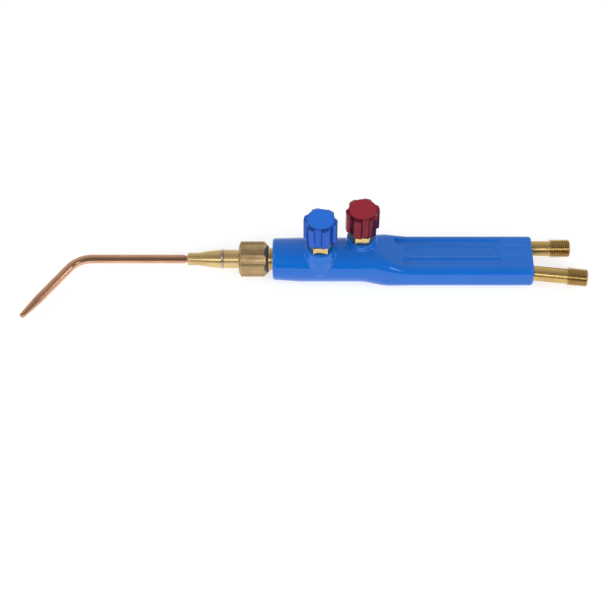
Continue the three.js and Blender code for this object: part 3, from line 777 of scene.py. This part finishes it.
def makeGland(gas, foot):
    up = Vector((0, 0, 1))
    across = gland["acrossFlats"]
    corner = across / math.sqrt(3)
    bottom, top = gland["bottom"], gland["top"]
    pick()
    bpy.ops.mesh.primitive_cylinder_add(
        vertices=6, radius=corner * mm, depth=(top - bottom + 2) * mm,
        location=(0, 0, (top + bottom) / 2 * mm), rotation=(0, 0, math.pi / 6))
    nut = bpy.context.object
    nut.name = gas + "_gland"
    settle(nut)
    combine(nut, turnPiece("envelope", [
        (bottom, across / 2 - 0.3), (bottom + gland["foot"], corner + 0.1),
        (top - gland["chamfer"], corner + 0.1), (top, across / 2 - 1.3)], Vector(), up, 96), "INTERSECT")
    combine(nut, turnPiece("shank", [
        (chamber["top"] + 0.3, gland["shank"] - 0.6), (chamber["top"] + 1, gland["shank"]),
        (bottom + 0.5, gland["shank"])], Vector(), up), "UNION")
    combine(nut, turnPiece("hole", [
        (0, gland["bore"]), (top - 0.6, gland["bore"]), (top + 0.4, gland["bore"] + 1)],
        Vector(), up), "DIFFERENCE")
    settle(nut, Matrix.Translation(foot))
    softenEdges(nut, gland["edge"], 2, 25)
    hand(nut, "glandBrass", "handle", "brass", gas + "_gland_nut")


def makeSpindle(gas, foot):
    radius, neckRadius = spindle["radius"], spindle["neck"]
    low, high = spindle["groove"]
    stem = turnPiece(gas + "_stem", [
        spindle["point"], (spindle["shoulder"], 1.5), (spindle["shoulder"], radius - 0.6),
        (spindle["shoulder"] + 0.8, radius), (low, radius), (low, neckRadius), (high, neckRadius),
        (high, radius), (spindle["top"] - 0.4, radius), (spindle["top"], radius - 0.4)],
        foot, (0, 0, 1), 48)
    softenEdges(stem, 0.08, 1, 30)
    hand(stem, "glandBrass", gas + "_valve", "brass", gas + "_spindle")


def makeKnob(gas, foot, finish, slotName):
    up = Vector((0, 0, 1))
    bottom, top, radius = knob["bottom"], knob["top"], knob["radius"]
    grip = lobedBlank(gas + "_grip", knob, bottom - 1, top + 1)
    combine(grip, turnPiece("envelope", [
        (bottom, radius - 0.6), (bottom + 0.6, radius + 0.1), (top - knob["chamferDrop"], radius + 0.1),
        (top - 0.12, knob["topRadius"] + 0.12), (top, knob["topRadius"] - 0.1)],
        Vector(), up, 144), "INTERSECT")
    seat = spindle["radius"] + spindle["gap"]
    combine(grip, turnPiece("seat", [
        (bottom - 1, seat), (spindle["top"] + spindle["gap"], seat)], Vector(), up, 48), "DIFFERENCE")
    screw = Vector((0, 0, knob["screwHeight"] * mm))
    tapping = knob["screwRadius"] + 0.3
    combine(grip, turnPiece("tapping", [(1, tapping), (14, tapping)], screw, (0, 1, 0), 32), "DIFFERENCE")
    turned = Matrix.Translation(foot) @ Matrix.Rotation(math.radians(knob["turns"][gas]), 4, "Z")
    settle(grip, turned)
    softenEdges(grip, knob["edge"], 3, 24)
    hand(grip, finish, gas + "_valve", slotName, gas + "_knob")
    makeSetScrew(gas, turned @ standing((0, 1, 0), screw))


def makeSetScrew(gas, place):
    # a headless screw with a six-sided key hole sunk in its end
    radius = knob["screwRadius"]
    inner, outer = spindle["radius"] + spindle["gap"], knob["waist"] - 1.2
    piece = turnPiece(gas + "_set_screw", [
        (inner, radius - 0.3), (inner + 0.3, radius), (outer - 0.25, radius), (outer, radius - 0.25)],
        Vector(), (0, 0, 1), 32)
    pick()
    bpy.ops.mesh.primitive_cylinder_add(vertices=6, radius=knob["keyRadius"] * mm, depth=3 * mm,
                                        location=(0, 0, outer * mm))
    key = bpy.context.object
    settle(key)
    combine(piece, key, "DIFFERENCE")
    settle(piece, place)
    softenEdges(piece, 0.05, 1, 30)
    hand(piece, "steel", gas + "_valve", "dark_steel", gas + "_knob_screw")


for gasName, axisPlace in valves.items():
    valveFoot = Vector((axisPlace.x, axisPlace.y, axisHeight))
    makeGland(gasName, valveFoot)
    makeSpindle(gasName, valveFoot)
    makeKnob(gasName, valveFoot, "blueKnob" if gasName == "oxygen" else "redKnob",
             "blue_anodised" if gasName == "oxygen" else "red_anodised")


# front spigot, union nut and neck

spigot = {"front": -13, "radius": 8.2, "shank": 9.7, "depth": 13.7, "bore": 6, "boreDepth": 11}
nut = {
    "count": 6, "radius": 12.6, "waist": 11.4, "angle": 26.5, "flank": 4, "front": -24.1, "back": -2.65,
    "frontRadius": 9.4, "frontChamfer": 1.7, "backRadius": 9.2, "backChamfer": 3.4, "turn": 12.7,
    "shoulder": -17, "edge": 0.3, "gap": 0.3,
}
neck = {
    "front": -60.6, "radius": 6.6, "muzzle": 4.45, "muzzleEnd": -53, "coneEnd": -37.6, "bulge": 0.25,
    "collar": 7.9, "collarBack": -13.3, "tail": 5.6, "tailEnd": 8, "bore": 2.4, "socket": 3.475,
    "socketEnd": -52.2, "injectorBore": 3.5, "injectorEnd": -2.3, "ringGrooves": (-6, 2), "ringFloor": 4.4,
    "ringHalf": 0.85,
}
wire = {"station": -35.8, "radius": 6.95, "wire": 0.55, "gap": 0.3, "opening": 14}


def makeSpigot():
    front, radius = spigot["front"], spigot["radius"]
    piece = turnPiece("brass_spigot", [
        (spigot["boreDepth"], spigot["bore"]), (front + 0.5, spigot["bore"]),
        (front, spigot["bore"] + 0.5),
        (front, radius - 0.8), (front + 0.8, radius), (-1.6, radius), (-1.3, radius - 0.5),
        (-0.6, radius - 0.5), (-0.3, radius), (0.3, radius), (0.3, spigot["shank"]),
        (spigot["depth"], spigot["shank"])], spot(0), (1, 0, 0), 96)
    softenEdges(piece, 0.1, 2, 30)
    hand(piece, "neckBrass", "handle", "brass", "front_spigot")


def makeUnionNut():
    up = Vector((0, 0, 1))
    front, back, radius = nut["front"], nut["back"], nut["radius"]
    body = lobedBlank("lobed_union_nut", nut, front - 1, back + 1)
    combine(body, turnPiece("envelope", [
        (front, nut["frontRadius"]), (front + nut["frontChamfer"], radius + 0.1),
        (back - nut["backChamfer"], radius + 0.1), (back, nut["backRadius"])],
        Vector(), up, 144), "INTERSECT")
    combine(body, turnPiece("through", [
        (front - 1, neck["radius"] + nut["gap"]), (nut["shoulder"], neck["radius"] + nut["gap"]),
        (nut["shoulder"], spigot["radius"] + nut["gap"]), (back + 1, spigot["radius"] + nut["gap"])],
        Vector(), up, 96), "DIFFERENCE")
    # its own height runs along the torch, and its lobes start from the sideways line
    lay = Matrix(((0, 0, 1, 0), (0, 1, 0, 0), (-1, 0, 0, 0), (0, 0, 0, 1)))
    roll = Matrix.Rotation(math.radians(90 - nut["turn"]), 4, "X")
    settle(body, Matrix.Translation(spot(0)) @ roll @ lay)
    softenEdges(body, nut["edge"], 2, 22)
    hand(body, "nutBrass", "union_nut", "brass", "union_nut")


def makeNeck():
    profile = [(neck["socketEnd"], neck["socket"]), (neck["front"] + 0.3, neck["socket"]),
               (neck["front"], neck["socket"] + 0.3), (neck["front"], neck["muzzle"] - 0.5),
               (neck["front"] + 0.15, neck["muzzle"] - 0.15), (neck["front"] + 0.5, neck["muzzle"])]
    coneSteps = 8
    for step in range(coneSteps + 1):
        share = step / coneSteps
        bulge = neck["bulge"] * math.sin(math.pi * share)
        profile.append((mixed(neck["muzzleEnd"], neck["coneEnd"], share),
                        mixed(neck["muzzle"], neck["radius"], share) + bulge))
    half = wire["wire"] + wire["gap"]
    wireFloor = wire["radius"] - wire["wire"] - wire["gap"]
    profile += [(wire["station"] - half, neck["radius"]), (wire["station"] - half, wireFloor),
                (wire["station"] + half, wireFloor), (wire["station"] + half, neck["radius"]),
                (nut["shoulder"] + nut["gap"], neck["radius"]),
                (nut["shoulder"] + nut["gap"], neck["collar"]),
                (neck["collarBack"], neck["collar"]), (neck["collarBack"], neck["tail"])]
    for station in neck["ringGrooves"]:
        low, high = station - neck["ringHalf"], station + neck["ringHalf"]
        profile += [(low, neck["tail"]), (low, neck["ringFloor"]),
                    (high, neck["ringFloor"]), (high, neck["tail"])]
    profile += [(neck["tailEnd"], neck["tail"]), (neck["tailEnd"], neck["injectorBore"]),
                (neck["injectorEnd"], neck["injectorBore"]), (neck["injectorEnd"], neck["bore"]),
                (neck["socketEnd"], neck["bore"])]
    piece = turnPiece("brass_neck", profile, spot(0), (1, 0, 0), 96, loop=True)
    softenEdges(piece, 0.1, 2, 35)
    hand(piece, "neckBrass", "neck", "brass", "neck")


def makeRetainer():
    # a snap ring of round wire, open at one place underneath
    pick()
    # the section stands across the ring's line, which runs round X
    bpy.ops.mesh.primitive_circle_add(vertices=16, radius=wire["wire"] * mm,
                                      location=(0, 0, wire["radius"] * mm), rotation=(math.pi / 2, 0, 0))
    piece = bpy.context.object
    piece.name = "snap_ring"
    settle(piece)
    bpy.ops.object.mode_set(mode="EDIT")
    bpy.ops.mesh.select_mode(type="EDGE")
    bpy.ops.mesh.select_all(action="SELECT")
    sweep = math.radians(360 - wire["opening"])
    bpy.ops.mesh.spin(steps=72, angle=sweep, center=(0, 0, 0), axis=(1, 0, 0))
    closeShell()
    start = Matrix.Rotation(math.pi + math.radians(wire["opening"] / 2), 4, "X")
    settle(piece, Matrix.Translation(spot(wire["station"])) @ start)
    softenEdges(piece, 0.08, 2, 50)
    hand(piece, "steel", "neck", "dark_steel", "retaining_wire")


makeSpigot()
makeUnionNut()
makeNeck()
makeRetainer()


# copper tip

tip = {
    "radius": 3.175, "thread": 2.95, "relief": 2.6, "threadEnd": -52.5, "reliefEnd": -62.7,
    "bendStation": -139, "bendRadius": 20.5, "bendAngle": 51.9, "reach": 60.0, "swivel": -79.8,
    "nozzleLength": 18.5, "nozzleRadius": 1.95, "taperCurve": 1.15, "orifice": 0.6, "sides": 64,
    "bendSteps": 28,
}


def makeTip():
    # built upright: it starts at the neck, runs up, and bends towards +Y
    start = tip["threadEnd"]
    angle = math.radians(tip["bendAngle"])
    tangent = tip["bendRadius"] * math.tan(angle / 2)
    bendAt = start - (tip["bendStation"] + tangent)
    straight = [
        (0, tip["thread"] - 0.4), (0.5, tip["thread"]), (start - neck["front"] + 0.1, tip["thread"]),
        (start - neck["front"] + 0.3, tip["relief"]), (start - tip["reliefEnd"] - 0.3, tip["relief"]),
        (start - tip["reliefEnd"], tip["radius"] - 0.15), (start - tip["reliefEnd"] + 0.2, tip["radius"]),
        (bendAt, tip["radius"])]
    pick()
    station, radius = straight[0]
    bpy.ops.mesh.primitive_circle_add(vertices=tip["sides"], radius=radius * mm, location=(0, 0, 0))
    piece = bpy.context.object
    piece.name = "copper_tip_tube"
    bpy.ops.object.mode_set(mode="EDIT")
    bpy.ops.mesh.select_mode(type="EDGE")
    bpy.ops.mesh.select_all(action="SELECT")
    for nextStation, nextRadius in straight[1:]:
        extrudeRing((0, 0, (nextStation - station) * mm), nextRadius / radius, (0, 0, nextStation * mm))
        station, radius = nextStation, nextRadius
    bpy.ops.mesh.spin(steps=tip["bendSteps"], angle=angle, center=(0, tip["bendRadius"] * mm, bendAt * mm),
                      axis=(1, 0, 0))
    onward = Vector((0, math.sin(angle), math.cos(angle)))
    corner = Vector((0, 0, (bendAt + tangent) * mm))
    along = tangent
    taperStart = tip["reach"] - tip["nozzleLength"]
    end = [(taperStart, tip["radius"])]
    taperSteps = 8
    for step in range(1, taperSteps):
        share = step / taperSteps
        end.append((taperStart + share * (tip["nozzleLength"] - 0.4),
                    mixed(tip["radius"], tip["nozzleRadius"], share ** tip["taperCurve"])))
    end += [(tip["reach"] - 0.4, tip["nozzleRadius"]), (tip["reach"] - 0.1, tip["nozzleRadius"] - 0.1),
            (tip["reach"], tip["nozzleRadius"] - 0.3), (tip["reach"], tip["orifice"] + 0.15),
            (tip["reach"] - 0.15, tip["orifice"]), (tip["reach"] - 5, tip["orifice"])]
    for nextAlong, nextRadius in end:
        extrudeRing(onward * (nextAlong - along) * mm, nextRadius / radius,
                    corner + onward * nextAlong * mm)
        along, radius = nextAlong, nextRadius
    closeShell()
    swivel = math.radians(tip["swivel"])
    droop = Vector((0, math.sin(swivel), -math.cos(swivel)))
    ahead = Vector((-1, 0, 0))
    turn = Matrix((droop.cross(ahead), droop, ahead)).transposed().to_4x4()
    settle(piece, Matrix.Translation(spot(start)) @ turn)
    pick(piece)
    bpy.ops.object.shade_smooth_by_angle(angle=math.radians(35))
    hand(piece, "copper", "neck", "copper", "copper_tip")


makeTip()


# what the CAD already shows right, inside

inside = {
    "copper": ("oxygen_gas_tube", "fuel_gas_tube"),
    "glandBrass": ("oxygen_valve_seat", "fuel_valve_seat", "mixer_injector"),
    "rubber": ("oxygen_packing_ring", "fuel_packing_ring", "front_mixer_ring", "rear_mixer_ring"),
}
for finishName, nodeNames in inside.items():
    for nodeName in nodeNames:
        node = frame["nodes"][nodeName]
        for materialSlot in node.material_slots:
            materialSlot.material = finishes[finishName]


# floor and surroundings

def addFloor():
    pick()
    bpy.ops.mesh.primitive_plane_add(size=floor["size"], location=(0, 0, cadLow.z - floor["below"]))
    ground = bpy.context.object
    ground.name = "bench_top"
    finish = Finish("pale_bench")
    grain = finish.noise(8, 3.0)
    grey = floor["grey"]
    worn = grey * 0.98
    tone = finish.blendColours(grain, shade(grey, grey, grey), shade(worn, worn, worn))
    ground.data.materials.append(finish.close(
        Base_Color=tone, Roughness=0.9, Specular_IOR_Level=0.1, Emission_Color=shade(1, 1, 1),
        Emission_Strength=floor["glow"]))


# the room is dim in front and brightens overhead towards the wall behind the bench
surroundings = {
    "towards": (0, 0.94, 0.342),
    "tones": [(0.0, 0.05), (0.09, 0.06), (0.16, 0.20), (0.25, 0.22), (0.33, 0.16),
              (0.42, 0.18), (0.5, 0.25), (0.67, 0.36), (0.93, 0.66), (1.0, 0.76)],
}


def addSurroundings():
    world = bpy.data.worlds.new("studio")
    world.use_nodes = True
    bpy.context.scene.world = world
    tree = world.node_tree
    tree.nodes.clear()
    where = tree.nodes.new("ShaderNodeTexCoord")
    along = tree.nodes.new("ShaderNodeVectorMath")
    share = tree.nodes.new("ShaderNodeMapRange")
    ramp = tree.nodes.new("ShaderNodeValToRGB")
    sky = tree.nodes.new("ShaderNodeBackground")
    out = tree.nodes.new("ShaderNodeOutputWorld")
    along.operation = "DOT_PRODUCT"
    along.inputs[1].default_value = surroundings["towards"]
    share.inputs["From Min"].default_value = -1
    while len(ramp.color_ramp.elements) > 1:
        ramp.color_ramp.elements.remove(ramp.color_ramp.elements[-1])
    first, *others = surroundings["tones"]
    ramp.color_ramp.elements[0].position = first[0]
    ramp.color_ramp.elements[0].color = shade(first[1], first[1], first[1])
    for position, grey in others:
        ramp.color_ramp.elements.new(position).color = shade(grey, grey, grey)
    tree.links.new(where.outputs["Generated"], along.inputs[0])
    tree.links.new(along.outputs["Value"], share.inputs["Value"])
    tree.links.new(share.outputs[0], ramp.inputs[0])
    tree.links.new(ramp.outputs[0], sky.inputs["Color"])
    tree.links.new(sky.outputs[0], out.inputs["Surface"])


addFloor()
addSurroundings()
bpy.context.scene.view_settings.view_transform = "Standard"
pick()

print("torch finished")
